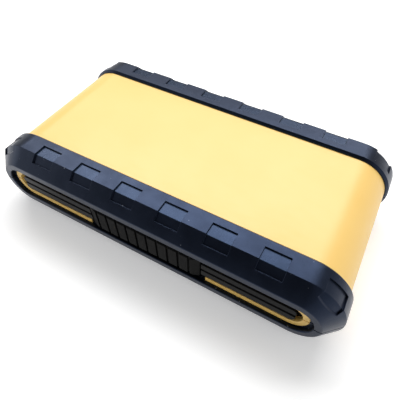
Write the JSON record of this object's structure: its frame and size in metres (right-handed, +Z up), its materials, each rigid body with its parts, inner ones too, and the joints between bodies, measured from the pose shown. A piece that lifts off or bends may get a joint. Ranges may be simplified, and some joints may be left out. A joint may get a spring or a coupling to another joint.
{
  "type": "bit set case",
  "caption": "Rounded two-tone clamshell case for screwdriver bits, with rubber bumpers, a hinged lid, a ribbed spring latch, racked bits and a magnetic bit holder.",
  "frame": {"origin": "middle of the footprint, on the surface the closed case stands on", "axes": "+X along the case's length to the right, +Y from the latch at the front to the hinge at the rear, +Z up"},
  "size_m": [0.158, 0.086, 0.034],
  "materials": {
    "shell_yellow": "satin moulded plastic",
    "bumper_rubber": "soft matte overmoulded rubber",
    "tray_black": "glossy moulded plastic",
    "latch_black": "matte moulded plastic",
    "rack_grey": "matte moulded plastic",
    "steel_pin": "drawn steel wire",
    "spring_steel": "bright spring steel",
    "bit_steel": "fine blasted tool steel",
    "holder_chrome": "bright plating",
    "magnet": "plated magnet"
  },
  "bodies": {
    "base": {"base_shell": "shell_yellow", "base_front_bumper": "bumper_rubber", "base_rear_bumper": "bumper_rubber", "base_tray": "tray_black", "hinge_pins": "steel_pin", "front_rack": "rack_grey", "middle_rack": "rack_grey", "rear_rack": "rack_grey", "slotted_bits": "bit_steel", "phillips_bits": "bit_steel", "pozidriv_bits": "bit_steel", "hex_bits": "bit_steel", "star_bits": "bit_steel", "tamper_star_bits": "bit_steel", "socket_adaptor": "bit_steel", "holder_sleeve": "holder_chrome", "holder_shank": "bit_steel", "holder_magnet": "magnet"},
    "lid": {"lid_shell": "shell_yellow", "lid_front_bumper": "bumper_rubber", "lid_rear_bumper": "bumper_rubber", "lid_tray": "tray_black", "latch_pin": "steel_pin", "latch_spring": "spring_steel"},
    "latch_lever": {"latch": "latch_black"}
  },
  "joints": [
    {"name": "lid_hinge", "type": "hinge", "parent": "base", "child": "lid", "pos_m": [0, 0.0409, 0.017], "axis": [-1, 0, 0], "range_deg": [0, 150]},
    {"name": "latch_pivot", "type": "hinge", "parent": "lid", "child": "latch_lever", "pos_m": [0, -0.0393, 0.021], "axis": [-1, 0, 0], "range_deg": [0, 18], "stiffness_Nm_per_rad": 0.05, "springref_deg": -11.46, "deforming": ["latch_spring"]}
  ]
}
